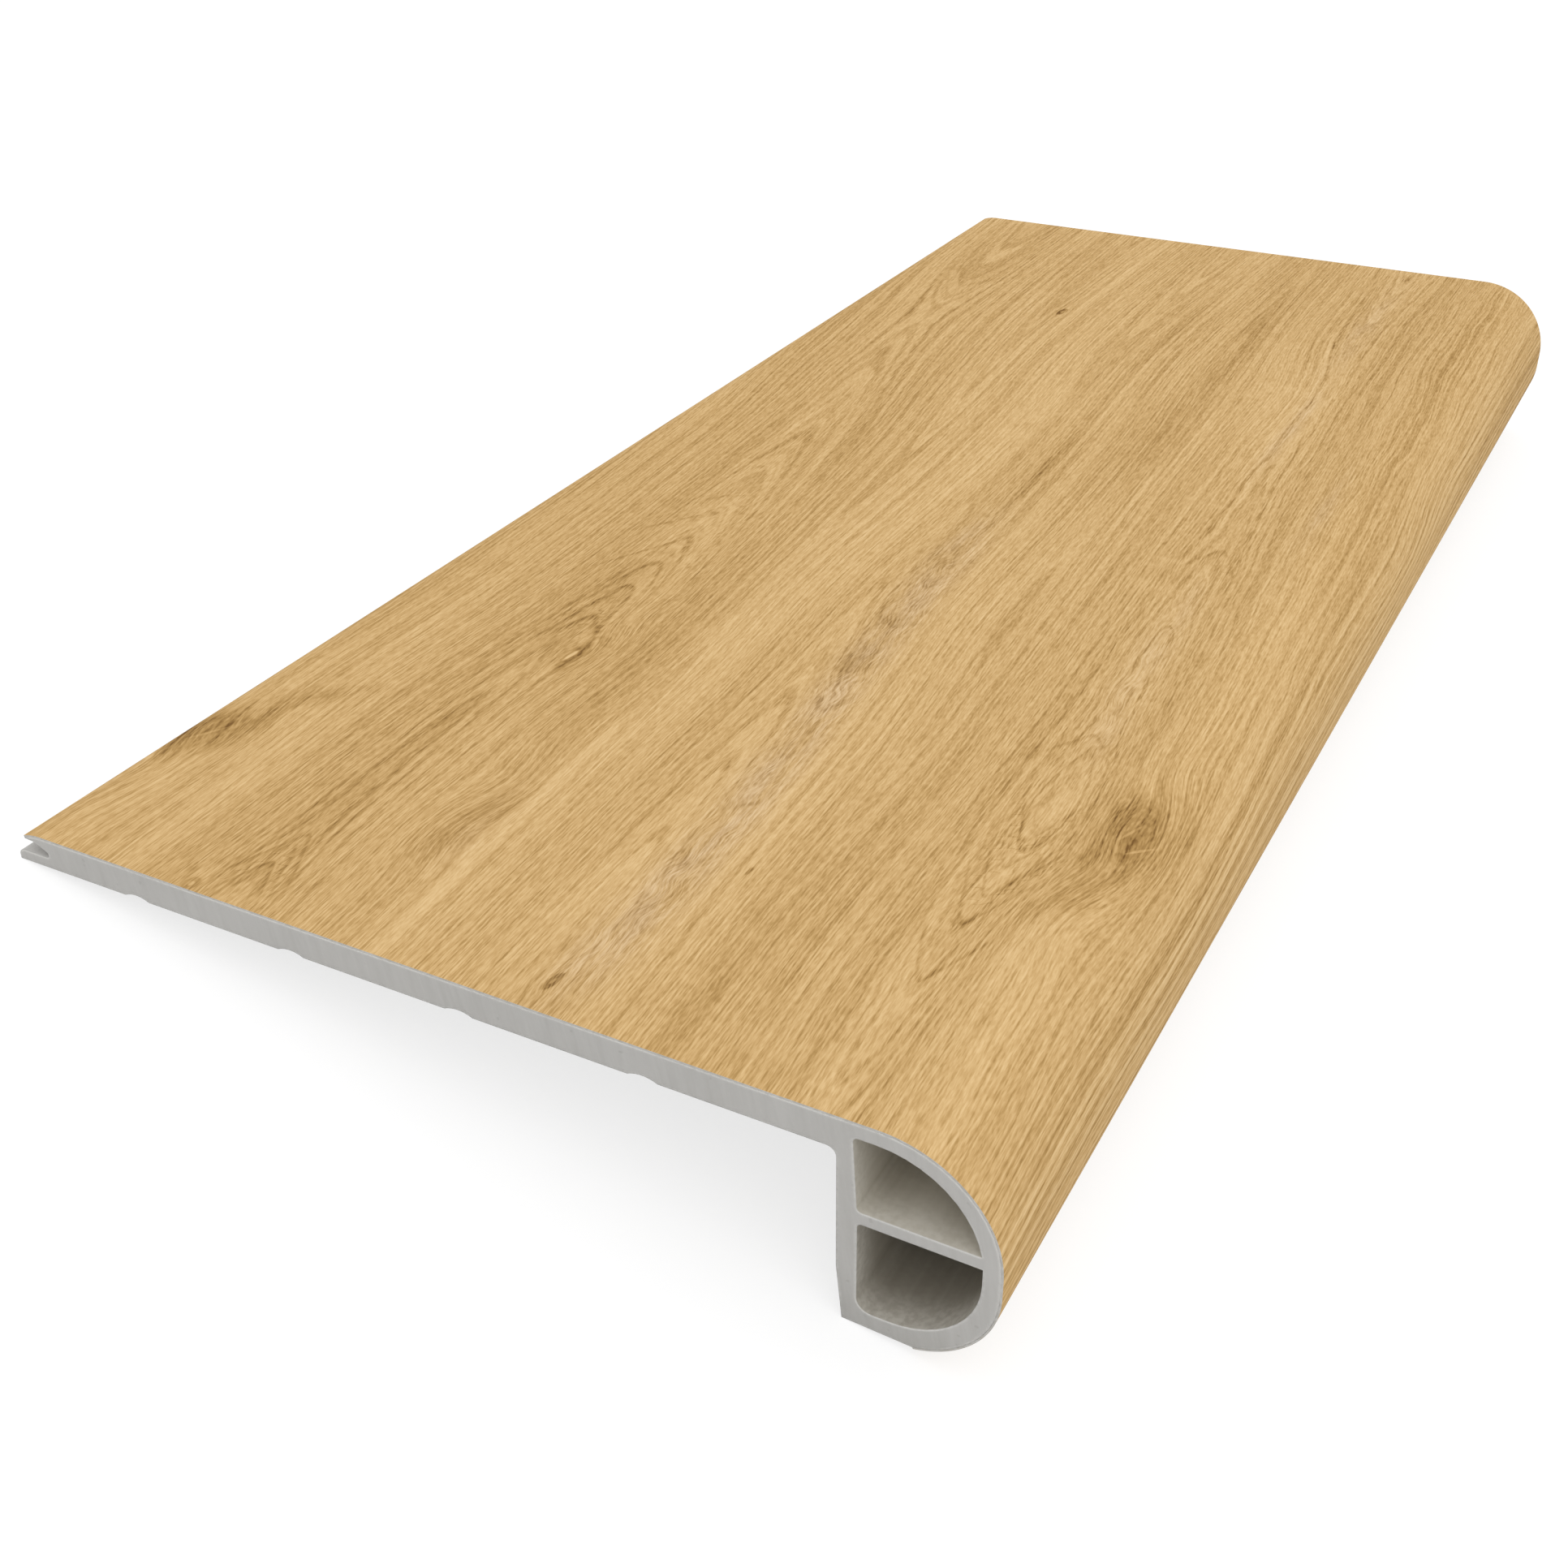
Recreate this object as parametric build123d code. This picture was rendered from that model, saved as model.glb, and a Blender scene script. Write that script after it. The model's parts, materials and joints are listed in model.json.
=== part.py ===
from build123d import *
import math
import os

# Flush stair nosing: an extruded plastic core with a printed wood-look film wrapped over its seen faces.
# The section is drawn level, tread face at z = 0 and the upper lip's edge at x = 0, then extruded along Y
# and laid down as it rests on a floor, on the back edge of its lower lip and the back edge of its foot.

# Overall sizes, in millimetres
LENGTH = 262.0              # cut length of the piece
DEPTH = 115.0               # end of the lower lip to the front of the nose
HEIGHT = 25.0               # tread face to the front edge of the foot
PLATE = 3.75                # tread plate, film included
FILM = 0.2                  # printed film

# Nose and leg
NOSE_TOP_RADIUS = 12.2      # tread face round to the front
NOSE_FRONT_FLAT = 2.3       # straight stretch at the very front
FOOT_RUN = 8.3              # front of the nose back to the front edge of the foot
FOOT_RISE = 0.5             # back edge of the foot above its front edge
LEG_TAPER = 0.6             # lead-in at the bottom of the leg's back
LEG_TAPER_HEIGHT = 6.5
LEG_FILLET = 1.0            # underside of the plate to the back of the leg

# Chambers in the nose and the web between them
TOP_WALL = 1.8
FRONT_WALL = 1.95
FOOT_WALL = 2.3
LEG_WALL = 2.1
WEB = 1.45
WEB_LIFT = 1.15             # middle of the web above the middle of the cell
CELL_STRAIGHT = 1.7         # leg wall to the round of the cell's roof
CELL_FRONT_FLAT = 1.5       # straight stretch at the front of the cell
ROOF_LEAN = 0.5             # back of the upper chamber, further back at its roof
CHAMBER_FILLET = 0.5        # back corners of the chambers
CHAMBER_FOOT_FILLET = 1.5   # lower chamber, at the foot of the leg

# Back edge: eased top, groove for a plank's tongue, longer lower lip
EASE_WIDTH = 2.4
EASE_DROP = 0.45
LIP_TIP = 0.15              # core left at the edge of the upper lip
LIP_FLAT = 1.4              # flat part of the upper lip's underside
LIP_FLAT_DROP = 0.1
GROOVE_DEPTH = 3.2
GROOVE_ROOT = 0.65          # height of the groove at its root
GROOVE_FILLET = 0.3
LOWER_LIP = 1.3             # lower lip thickness
LOWER_LIP_REACH = 1.3       # lower lip beyond the upper one
LOWER_LIP_ROUND = 0.8

# Shallow grooves along the underside
KEY_COUNT = 4
KEY_WIDTH = 3.3
KEY_DEPTH = 0.4
KEY_BACK_MARGIN = 15.5      # upper lip's edge to the first groove
KEY_LEG_MARGIN = 19.9       # last groove to the back of the leg

# Places that follow from the sizes above, in the level section
front_x = DEPTH - LOWER_LIP_REACH
cell_radius = (HEIGHT - TOP_WALL - FOOT_WALL) / 2
cell_centre = Vector(front_x - FRONT_WALL - cell_radius, -TOP_WALL - cell_radius)
cell_back_x = cell_centre.X - CELL_STRAIGHT
leg_x = cell_back_x - LEG_WALL
underside_z = -PLATE
groove_floor_z = underside_z + LOWER_LIP
lower_lip_edge = (-LOWER_LIP_REACH, underside_z)
foot_front = (front_x - FOOT_RUN, -HEIGHT)
foot_back = (leg_x + LEG_TAPER, FOOT_RISE - HEIGHT)

# Arcs of the wrapped face: each one is a centre and a radius
ease_radius = (EASE_WIDTH**2 + EASE_DROP**2) / (2 * EASE_DROP)
ease_centre = Vector(EASE_WIDTH, -ease_radius)
top_centre = Vector(front_x - NOSE_TOP_RADIUS, -NOSE_TOP_RADIUS)
low_drop = HEIGHT - NOSE_TOP_RADIUS - NOSE_FRONT_FLAT
low_radius = (FOOT_RUN**2 + low_drop**2) / (2 * FOOT_RUN)
low_centre = Vector(front_x - low_radius, low_drop - HEIGHT)


def on_arc(centre, radius, toward):
    """The point of an arc that lies in the direction of another point."""
    return centre + (Vector(*toward) - centre).normalized() * radius


def arc(centre, radius, start, end):
    """The short arc from one point to another about a centre."""
    middle = on_arc(centre, radius, (start + end) / 2)
    return ThreePointArc(start, middle, end)


def wrapped_face(inset):
    """Edges of the wrapped face from the upper lip round to the foot, an inset below the outer surface."""
    ease, top, low = ease_radius - inset, NOSE_TOP_RADIUS - inset, low_radius - inset
    lip = on_arc(ease_centre, ease, (0, -EASE_DROP))
    tread_back = Vector(EASE_WIDTH, -inset)
    tread_front = Vector(top_centre.X, -inset)
    nose_high = Vector(front_x - inset, top_centre.Y)
    nose_low = Vector(front_x - inset, low_centre.Y)
    foot = on_arc(low_centre, low, foot_front)
    return [
        arc(ease_centre, ease, lip, tread_back),
        Line(tread_back, tread_front),
        arc(top_centre, top, tread_front, nose_high),
        Line(nose_high, nose_low),
        arc(low_centre, low, nose_low, foot),
    ]


def film_section():
    """The film: the space between the outer face and the core's face."""
    outer, inner = wrapped_face(0), wrapped_face(FILM)
    lip_end = Line(outer[0] @ 0, inner[0] @ 0)
    foot_end = Line(outer[-1] @ 1, inner[-1] @ 1)
    return make_face([*outer, *inner, lip_end, foot_end])


def blank_section():
    """The core's outline, with its back edge stepped for the two lips and nothing hollowed out."""
    skin = wrapped_face(FILM)
    lip = skin[0] @ 0
    outline = Polyline(
        lip,
        (lip.X, groove_floor_z),
        (-LOWER_LIP_REACH, groove_floor_z),
        lower_lip_edge,
        (leg_x, underside_z),
        (leg_x, foot_back[1] + LEG_TAPER_HEIGHT),
        foot_back,
        skin[-1] @ 1,
    )
    face = make_face([*skin, outline])
    face = fillet(nearest_corner(face, (leg_x, underside_z)), LEG_FILLET)
    return fillet(nearest_corner(face, (-LOWER_LIP_REACH, groove_floor_z)), LOWER_LIP_ROUND)


def nearest_corner(face, point):
    return face.vertices().sort_by_distance((*point, 0))[0]


def tongue_groove():
    """The groove between the lips: flat under the upper lip, then sloping down to a rounded root."""
    tip_x, tip_z = tuple(wrapped_face(FILM)[0] @ 0)[:2]
    mouth_x = tip_x - LOWER_LIP_REACH
    lip_z = tip_z - LIP_TIP
    root_z = groove_floor_z + GROOVE_ROOT
    face = make_face(
        Polyline(
            (mouth_x, lip_z),
            (tip_x, lip_z),
            (LIP_FLAT, lip_z - LIP_FLAT_DROP),
            (GROOVE_DEPTH, root_z),
            (GROOVE_DEPTH, groove_floor_z),
            (mouth_x, groove_floor_z),
            close=True,
        )
    )
    return fillet(face.vertices().group_by(Axis.X)[-1], GROOVE_FILLET)


def underside_keys():
    """Shallow round-bottomed grooves along the underside, spread evenly from back to front."""
    radius = (KEY_WIDTH**2 / 4 + KEY_DEPTH**2) / (2 * KEY_DEPTH)
    centre_z = underside_z + KEY_DEPTH - radius
    pitch = (leg_x - KEY_LEG_MARGIN - KEY_BACK_MARGIN) / (KEY_COUNT - 1)
    return [Pos(KEY_BACK_MARGIN + i * pitch, centre_z) * Circle(radius) for i in range(KEY_COUNT)]


def chambers():
    """The two hollows of the nose: a cell that follows the nose, split by the web."""
    web_z = cell_centre.Y + WEB_LIFT
    front = cell_centre.X + cell_radius
    floor_radius = cell_radius - CELL_FRONT_FLAT
    floor_centre = Vector(front - floor_radius, cell_centre.Y - CELL_FRONT_FLAT)
    roof = cell_centre + Vector(0, cell_radius)
    front_high = Vector(front, cell_centre.Y)
    front_low = Vector(front, floor_centre.Y)
    floor = floor_centre - Vector(0, floor_radius)
    foot_corner = (cell_back_x, floor.Y)
    web_corner = (cell_back_x, web_z)
    roof_corner = (cell_back_x - ROOF_LEAN, roof.Y)
    cell = make_face(
        [
            arc(cell_centre, cell_radius, roof, front_high),
            Line(front_high, front_low),
            arc(floor_centre, floor_radius, front_low, floor),
            Polyline(floor, foot_corner, web_corner, roof_corner, roof),
        ]
    )
    web = Pos(cell_centre.X, web_z) * Rectangle(4 * cell_radius, WEB)
    upper, lower = (cell - web).faces().sort_by(Axis.Y, reverse=True)
    for corner in (web_corner, roof_corner):
        upper = upper.fillet_2d(CHAMBER_FILLET, [nearest_corner(upper, corner)])
    lower = lower.fillet_2d(CHAMBER_FILLET, [nearest_corner(lower, web_corner)])
    lower = lower.fillet_2d(CHAMBER_FOOT_FILLET, [nearest_corner(lower, foot_corner)])
    return [upper, lower]


def core_section():
    section = blank_section() - tongue_groove()
    for cut in [*underside_keys(), *chambers()]:
        section -= cut
    return section


def at_rest():
    """Where the level section goes when the piece lies on its lower lip and the back edge of its foot."""
    run = foot_back[0] - lower_lip_edge[0]
    rise = lower_lip_edge[1] - foot_back[1]
    tilt = Rot(0, -math.degrees(math.atan2(rise, run)), 0)
    box = (tilt * extruded(film_section() + blank_section())).bounding_box()
    return Pos(-box.center().X, 0, -box.min.Z) * tilt


def extruded(section):
    return extrude(Plane.XZ * section, LENGTH / 2, both=True)


rest = at_rest()
os.makedirs("parts", exist_ok=True)
for name, section in {"extruded_core": core_section(), "decor_film": film_section()}.items():
    export_step(rest * extruded(section), f"parts/{name}.step")
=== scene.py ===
import json
import math

import bmesh
import bpy
import numpy as np
from mathutils import Matrix, Vector


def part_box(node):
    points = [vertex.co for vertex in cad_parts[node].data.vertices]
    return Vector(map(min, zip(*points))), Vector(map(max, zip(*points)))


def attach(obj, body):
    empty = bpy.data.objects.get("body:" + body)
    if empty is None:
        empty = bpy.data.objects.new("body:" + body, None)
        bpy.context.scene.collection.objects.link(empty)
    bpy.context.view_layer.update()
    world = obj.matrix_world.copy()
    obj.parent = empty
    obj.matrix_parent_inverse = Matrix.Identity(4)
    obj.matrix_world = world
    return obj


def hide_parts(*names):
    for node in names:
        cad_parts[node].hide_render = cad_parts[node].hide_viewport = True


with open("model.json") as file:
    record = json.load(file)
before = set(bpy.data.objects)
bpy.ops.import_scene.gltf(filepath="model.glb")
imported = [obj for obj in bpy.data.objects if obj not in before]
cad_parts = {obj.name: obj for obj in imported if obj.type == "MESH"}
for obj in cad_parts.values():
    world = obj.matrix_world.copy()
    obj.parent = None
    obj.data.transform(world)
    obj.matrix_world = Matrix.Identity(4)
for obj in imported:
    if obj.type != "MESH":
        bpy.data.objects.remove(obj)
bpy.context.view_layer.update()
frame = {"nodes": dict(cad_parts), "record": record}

MM = 0.001

# Sizes of the wrapped face, in millimetres, as the solids have them
DEPTH = 115.0
HEIGHT = 25.0
FILM = 0.2
LOWER_LIP_REACH = 1.3
EASE_WIDTH = 2.4
EASE_DROP = 0.45
NOSE_TOP_RADIUS = 12.2
NOSE_FRONT_FLAT = 2.3
FOOT_RUN = 8.3

# Where the nose's chambers are: the middle of the cell, a reach that holds its walls, and its back
CELL_CENTRE = (101.3, -12.25)
CELL_REACH = 11.6
CELL_BACK = 98.5
WEB_MIDDLE = -11.1

# Mesh of the film
CELL = 0.69                     # side of a cell of the seen face
SHARP = math.radians(30)        # edges sharper than this stay crisp
END_FACING = 0.9                # a face that looks this much along the piece is a cut end
WELD = 0.001                    # corners of the solid's facets closer than this are one, in millimetres

# The photograph's camera, in the level section's axes
CAMERA_PLACE = (153.23, -241.92, 111.56)
CAMERA_HEADING = 28.5676
CAMERA_DROP = 32.0602
CAMERA_ROLL = -0.8214
LENS = 43.7456
SENSOR = 36.0

# Light
WORLD_STRENGTH = 0.86
KEY_SIZE = 1.2
KEY_PLACE = (0.35, -0.45, 1.1)
KEY_POWER = 3.0
FLOOR_SIZE = 8.0
FLOOR_GLOW = 0.72
FLOOR_SHADE = 0.36

# Growth rings of the print, over the unrolled film in millimetres: across from the upper lip, along from the
# near end. Each figure has an axis that wanders along the piece (along, across), the count of the ring that
# crosses the axis (along, ring), a rounding of the ring's tips and a reach to the sides.
FIGURES = [
    {   # tall arches left of the middle, turned over towards the far end
        "axis": [(0, 28.5), (8, 28), (40, 26.5), (70, 26.9), (97, 25.7), (114, 24.5), (140, 22.5),
                 (170, 18.5), (215, 14), (262, 12)],
        "rings": [(0, 11.3), (7, 10), (13, 9), (30, 8.6), (42, 8.35), (48, 8), (62, 7), (71, 6), (79.6, 5),
                  (87, 4), (95.7, 3), (106, 2), (115, 1), (127, 0), (142, -1), (160, -2), (184, -3),
                  (198, -3.2), (217, -2), (230, -1), (245, 0), (262, 1)],
        "tip": 4.5,
        "reach": 10.0,
        "lines": 0.85,
    },
    {   # slender arches along the middle
        "axis": [(0, 63), (25, 61.5), (48, 60.2), (60, 59.5), (75, 58), (87, 56.7), (124, 56), (160, 55),
                 (198, 52.5), (230, 53), (262, 54)],
        "rings": [(0, 8), (18, 7), (33, 6), (48, 5), (57, 4), (65, 3), (75, 2), (87, 1), (124, 0),
                  (160, -0.6), (198, 0.2), (230, 1.6), (262, 3)],
        "tip": 1.6,
        "reach": 7.0,
        "lines": 0.8,
    },
    {   # closed loops near the nose
        "axis": [(0, 96.5), (20, 95.5), (54, 96.3), (84, 94.8), (118, 93), (140, 92), (180, 90.5),
                 (220, 88.5), (262, 88)],
        "rings": [(0, 0.7), (4, 1), (19, 2), (30, 3), (37, 4), (43, 5), (47, 6), (54, 7), (64, 6), (69, 5),
                  (84, 4), (104, 3), (118, 2), (127, 1), (140, 0.4), (180, 0), (215, 0.5), (240, 2),
                  (262, 3.5)],
        "tip": 1.8,
        "reach": 8.0,
        "lines": 1.3,
    },
]
RING = 1.1                      # spacing of the rings beside a figure
FIGURE_BLEND = 1.0              # how softly neighbouring figures join
FIGURE_MOST = 1.4               # most that overlapping figures add up to
LANE_REACH = 25.0               # how far a figure's axis leads the straight grain beside it
SPREAD_FLAT = 0.08              # slope of the rings below which their lines widen no more
SPREAD_POWER = 0.6              # how strongly the lines widen where the rings lie flat

# Arches that stand out: tip (across, along), fall of the left and right legs, thickness, length and darkness
ARCHES = [
    (24.8, 105.8, 1.5, 1.6, 1.2, 13.0, 0.24),
    (25.8, 96.4, 2.0, 1.75, 1.1, 17.0, 0.2),
    (26.2, 80.4, 2.3, 1.9, 1.8, 16.0, 0.09),
    (26.4, 76.0, 2.5, 2.1, 1.2, 12.0, 0.1),
    (27.0, 71.2, 3.1, 1.55, 2.2, 10.0, 0.3),
    (26.9, 67.2, 5.0, 3.2, 1.4, 9.0, 0.1),
    (27.8, 14.0, 3.0, 2.1, 1.0, 13.0, 0.2),
    (27.8, 8.2, 3.2, 2.1, 1.1, 10.0, 0.24),
    (24.6, 113.5, 1.6, 1.6, 1.2, 9.0, 0.2),
    (22.8, 123.8, 1.7, 1.7, 1.2, 7.0, 0.17),
    (21.0, 156.5, 7.0, 7.0, 6.0, 10.0, 0.10),
    (16.9, 182.0, 7.0, 7.0, 6.0, 10.0, 0.10),
    (93.1, 126.0, 2.2, 2.2, 1.2, 13.0, 0.14),
    (94.9, 71.4, 1.7, 1.7, 1.0, 10.0, 0.17),
]

# The same with their tips towards the near end: the figure at the far end, then the rippled strip
CHEVRONS = [
    (14.4, 216.0, 2.6, 1.6, 2.2, 14.0, 0.14),
    (13.0, 195.5, 3.5, 3.0, 2.4, 12.0, 0.09),
    (61.8, 96.4, 2.0, 2.5, 1.5, 4.0, 0.13),
    (62.9, 84.6, 0.7, 1.1, 1.7, 4.5, 0.1),
    (62.9, 71.2, 2.2, 1.3, 1.9, 6.5, 0.09),
    (63.6, 61.6, 3.2, 1.2, 1.6, 5.0, 0.12),
    (64.8, 50.0, 1.6, 1.2, 1.6, 5.0, 0.12),
    (65.6, 38.0, 1.4, 1.6, 1.6, 5.0, 0.12),
    (66.4, 27.0, 1.8, 1.3, 1.6, 5.0, 0.1),
    (95.8, 46.4, 3.0, 3.0, 1.0, 14.0, 0.2),
    (95.8, 41.0, 3.2, 3.0, 1.0, 14.0, 0.19),
    (96.1, 35.5, 3.4, 2.6, 1.0, 14.0, 0.21),
    (95.8, 30.0, 3.4, 2.6, 1.0, 14.0, 0.18),
    (95.9, 20.0, 3.0, 2.6, 1.1, 14.0, 0.2),
]
ARCH_TIP = 0.4                  # rounding of an arch's tip
ARCH_EDGE = 0.15                # and its sharper outer edge, as a share of its thickness
ARCH_INNER = (1.0, 0.2)         # where its softer inner edge ends and begins, as a share too
ARCH_CLEAR = (1.6, 0.7)         # how far beyond its edges it ends and starts to, in millimetres
ARCH_LEGS = 0.35                # share of its length from which the legs fade
ARCH_NARROWING = 0.3            # how much narrower steep legs are than the tip
ARCH_FRAY = 0.1                 # how far the dashes fray it

# Round knots: place, half width and half length, lean and darkness
EYES = [
    {"across": 30.4, "along": 60.0, "width": 1.6, "length": 3.8, "lean": 0.0, "dark": 0.15},
    {"across": 37.0, "along": 211.0, "width": 0.6, "length": 1.7, "lean": 0.1, "dark": 0.28},
    {"across": 65.2, "along": 4.5, "width": 0.5, "length": 1.5, "lean": 0.15, "dark": 0.26},
    {"across": 23.0, "along": 1.0, "width": 0.8, "length": 1.1, "lean": 0.0, "dark": 0.16},
]
EYE_RINGS = (0.9, 0.5)          # dark rings of a knot, as shares of its size
EYE_RING_WIDTH = 0.34
EYE_SHADE = (1.6, 0.6)          # where the shade round it begins and is full
EYE_SHADE_DARK = 0.55
EYE_FRAY = (0.2, 0.1)           # how far the quick wander and the dashes fray it

# Dark smudges: place, half width and half length, lean, darkness and strokes per millimetre
SMUDGES = [
    {"across": 3.4, "along": 25.6, "width": 4.8, "length": 6.6, "lean": 0.3, "dark": 0.45, "strokes": 1.4},
    {"across": 9.4, "along": 37.7, "width": 2.6, "length": 5.5, "lean": 0.8, "dark": 0.1, "strokes": 1.3},
    {"across": 106.4, "along": 54.0, "width": 4.2, "length": 9.0, "lean": 0.2, "dark": 0.23, "strokes": 1.4},
    {"across": 103.6, "along": 57.5, "width": 3.0, "length": 5.0, "lean": -0.2, "dark": 0.12, "strokes": 1.4},
    {"across": 104.3, "along": 40.5, "width": 2.0, "length": 6.5, "lean": 0.4, "dark": 0.11, "strokes": 1.4},
    {"across": 25.4, "along": 85.0, "width": 2.6, "length": 7.5, "lean": 0.08, "dark": 0.11, "strokes": 1.6},
    {"across": 42.0, "along": 23.0, "width": 2.8, "length": 8.0, "lean": 0.22, "dark": 0.15, "strokes": 1.7},
]
SMUDGE_EDGE = (1.7, -0.3)       # where a smudge begins and is full
SMUDGE_FRAY = 1.5
STROKE_RUN = 0.13               # strokes along their lean, in cells per millimetre
STROKES = (0.66, 0.36, 0.82, 1.08)  # part of the noise that makes them, and their weakest and strongest

# How the grain parts round a knot: across, along, half width and half length
PARTINGS = [
    (30.4, 60.0, 2.2, 5.5),
    (37.0, 211.0, 1.4, 3.0),
    (65.2, 4.5, 1.2, 2.6),
    (106.4, 53.0, 3.4, 7.0),
    (3.6, 25.2, 4.0, 6.0),
]
PARTING = 0.6                   # how far it parts

# Places where the grain leans aside: across, along, half width, half length and lean
LEANS = [
    (3, 10, 5, 12, 0.25),
    (104.5, 41, 4, 9, 0.28),
    (106.5, 65, 3.5, 8, -0.2),
    (33, 68, 3, 7, -0.2),
    (40.5, 27, 4, 9, 0.34),
    (83, 203, 6, 22, -0.1),
    (117, 165, 5, 25, -0.14),
]

# Rippled strips: points that the strip passes (along, across), half width, greyness and height of the ripples
STRIPS = [
    {
        "path": [(0, 66.5), (20, 67.0), (45, 66.0), (60, 64.6), (85, 62.6), (110, 61.0), (135, 60.0)],
        "width": 2.8,
        "ends": (4, 118),
        "grey": 0.75,
        "curl": 0.4,
    },
    {
        "path": [(0, 97.0), (60, 96.5), (84, 94.8), (104, 94.0), (125, 93.0)],
        "width": 2.2,
        "ends": (66, 112),
        "grey": 0.3,
        "curl": 0.25,
    },
]
STRIP_FADE = (3.0, 5.0)         # softness of a strip's near and far end

# Soft light and dark patches, one of them painted light on the nose: across, along, half width, half length,
# lean and amount
PATCHES = [
    (20, 80, 24, 90, 0.0, -0.045),
    (11, 22, 4.5, 30, 0.0, 0.07),
    (62, 88, 2.6, 22, -0.08, -0.07),
    (60.5, 106, 2.4, 9, -0.05, -0.12),
    (66.5, 9, 2.5, 6, 0.0, 0.05),
    (94, 97, 2.2, 12, 0.0, -0.05),
    (89.5, 172, 1.4, 18, 0.0, -0.08),
    # painted light: lightens the lower round of the nose along the whole piece
    (119.5, 90, 4.0, 130, 0.0, 0.09),
    (95, 25, 15, 32, 0.0, 0.035),
    (9.4, 37.5, 2.8, 4.5, 0.7, -0.1),
    (21, 152, 1.2, 3.5, 0.0, -0.14),
    (16.9, 177, 1.1, 4, 0.0, -0.14),
    (25, 83, 2.2, 6, 0.12, -0.1),
    (24.5, 76, 3.6, 13, 0.1, -0.07),
    (26, 89, 2.0, 5, 0.0, 0.05),
    (29, 66, 2.2, 4, -0.4, -0.06),
    (26.5, 45, 1.8, 5, 0.0, -0.05),
    (38, 65, 4.5, 30, -0.05, -0.14),
    (26, 25, 4, 20, 0.0, -0.04),
    (47, 60, 3.5, 60, 0.0, 0.14),
    (51, 150, 4, 60, 0.0, 0.09),
    (60.5, 18, 3, 16, 0.0, 0.12),
    (61, 140, 2.6, 16, 0.0, -0.16),
    (59, 212, 2.2, 22, 0.0, -0.12),
    (71, 185, 3, 60, 0.0, -0.12),
    (68, 250, 3, 30, 0.0, -0.1),
    (86, 180, 3, 30, 0.0, 0.12),
    (96.8, 54, 1.4, 7, 0.0, 0.18),
    (84, 30, 4, 40, 0.0, -0.08),
    (103.5, 40, 1.6, 6, 0.38, -0.15),
    (105.5, 52, 5.5, 12, 0.0, -0.16),
    (98, 125, 18, 60, 0.0, 0.045),
    (3, 95, 4, 40, 0.0, -0.07),
    (10, 200, 10, 75, 0.0, -0.06),
    (27, 155, 8, 30, 0.0, -0.05),
    (42, 228, 8, 38, 0.0, 0.08),
    (74, 228, 8, 38, 0.0, -0.06),
    (104, 195, 8, 75, 0.0, -0.06),
    (62.5, 74, 1.8, 4, 0.0, -0.1),
    (62.2, 86, 2.0, 2.5, 0.0, -0.1),
    (65, 52, 2.2, 8, -0.08, 0.04),
]

# Patches where the print turns grey: across, along, half width, half length, lean and amount
GREY_PATCHES = [
    (89.5, 172, 1.2, 16, 0.0, 0.6),
    (88, 225, 2.2, 25, 0.0, 0.4),
    (42.5, 22, 2.4, 8, 0.0, 0.25),
    (102, 145, 1.2, 12, 0.0, 0.4),
]

# Tiny marks: across, along, half width, half length, lean and amount
MARKS = [
    {"across": 30.4, "along": 60.0, "width": 0.3, "length": 1.7, "lean": 0.1, "tone": 0.5},
    {"across": 23.0, "along": 1.0, "width": 0.35, "length": 0.5, "lean": 0.0, "tone": 0.22},
    {"across": 72.9, "along": 29.0, "width": 0.3, "length": 0.9, "lean": 0.0, "tone": -0.35},
    {"across": 107.0, "along": 52.4, "width": 0.22, "length": 1.9, "lean": 0.62, "tone": 0.26},
    {"across": 105.2, "along": 54.5, "width": 0.18, "length": 2.4, "lean": 0.3, "tone": 0.22},
    {"across": 105.7, "along": 49.7, "width": 0.7, "length": 0.9, "lean": 0.0, "tone": -0.16},
    {"across": 3.2, "along": 25.0, "width": 0.3, "length": 2.6, "lean": 0.6, "tone": 0.16},
    {"across": 71.5, "along": 95.0, "width": 0.25, "length": 12.0, "lean": -0.07, "tone": 0.12},
]
MARK_EDGE = (1.3, 0.2)          # where a mark begins and is full

# Wandering of the grain: cells of noise per millimetre across and along, and a seed
WANDERS = {
    "slow": (0.08, 0.018, 0.0),
    "quick": (0.4, 0.1, 3.0),
    "loose": (0.2, 0.05, 5.0),
    "curly": (0.2, 0.13, 7.0),
}
LOOSE_FROM = (84.0, 92.0)       # where the rings begin to wander loosely and do so in full
LANE_SWAY = {"slow": 1.0, "quick": 0.3}
RING_SWAY = {"slow": 1.0, "quick": 0.35, "loose": 2.5}
CURL_SWAY = 9.0

# Grain: cells of noise per millimetre across and along, and the change of tone
THREADS = [(2.8, 0.012, 0.19), (1.3, 0.008, 0.03)]
THREAD_GAIN = 0.0012            # how much bolder the threads grow with each millimetre along
THREAD_DRIFT = 0.06             # how soon they change across the piece
THREAD_CALM = {"grey": 0.35, "figure": 0.2}  # how much softer they are in strips and in figures
LANES = {
    "hair": (4.6, 0.04, 0.12),
    "dash": (3.4, 0.24, 0.14),
    "fleck": (5.0, 0.8, 0.16),
    "band": (0.12, 0.005, 0.07),
}
NOSE_STRIPES = (1.5, 0.006, 0.36)
NOSE_FROM = (108.0, 118.0)      # where the stripes of the nose begin and are full
CRISP = (0.38, 0.62)            # part of the noise that makes the grain
PLAIN_TONE = 0.6
LINE_EDGE = 0.1                 # a ring line's sharp edge
LINE_FADE = 1.1                 # and its soft one, in millimetres
LINE_DARK = 0.38
LINE_BREAK = 0.25               # how much the dashes break it up
LINE_FRAY = 0.2                 # and how far they fray it
LINE_LEAST = 0.3                # strength of the faintest ring
LINE_CHANGE = 0.02              # change of strength along a ring, in cells per millimetre
LINE_PLAIN = 0.12               # strength of the lines away from the figures
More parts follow.
